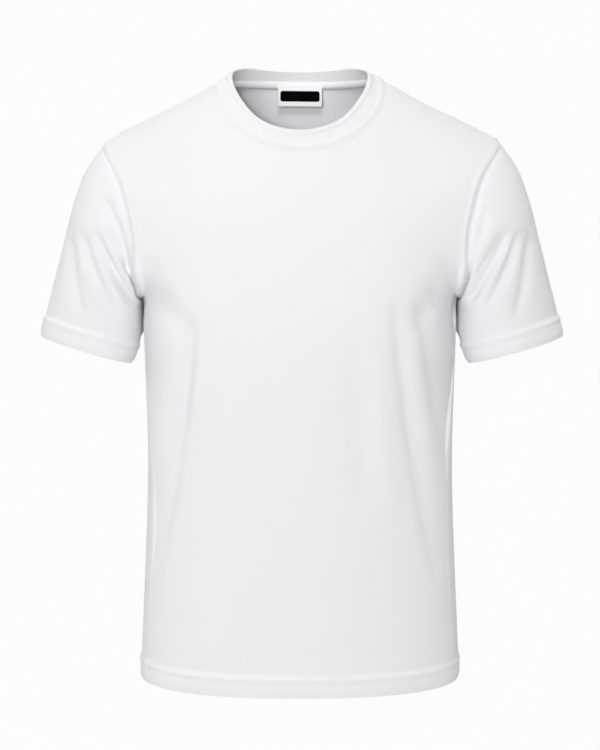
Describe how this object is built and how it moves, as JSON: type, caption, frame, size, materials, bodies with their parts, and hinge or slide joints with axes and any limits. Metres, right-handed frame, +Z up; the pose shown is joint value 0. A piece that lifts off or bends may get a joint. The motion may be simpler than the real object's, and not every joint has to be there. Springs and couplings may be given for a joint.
{
  "type": "crew neck t-shirt",
  "caption": "Short-sleeved jersey crew neck t-shirt with a ribbed neckband, set-in sleeves and turned-up hems, standing filled out and hollow.",
  "frame": {"origin": "midway between the two high shoulder points, where neckband, shoulder seams and neck meet, at their height", "axes": "+X towards the wearer's left, +Y towards the wearer's back, +Z up; the front faces -Y"},
  "size_m": [0.6254, 0.2501, 0.7299],
  "materials": {
    "jersey": "white fine single jersey, matt",
    "rib": "white fine rib knit, matt",
    "tape": "white jersey tape, matt",
    "label": "white woven label with a plain black woven band"
  },
  "bodies": {
    "root": {"front": "jersey", "back": "jersey", "sleeve_left": "jersey", "sleeve_right": "jersey", "neckband": "rib", "neck_tape": "tape", "label": "label"}
  },
  "joints": []
}
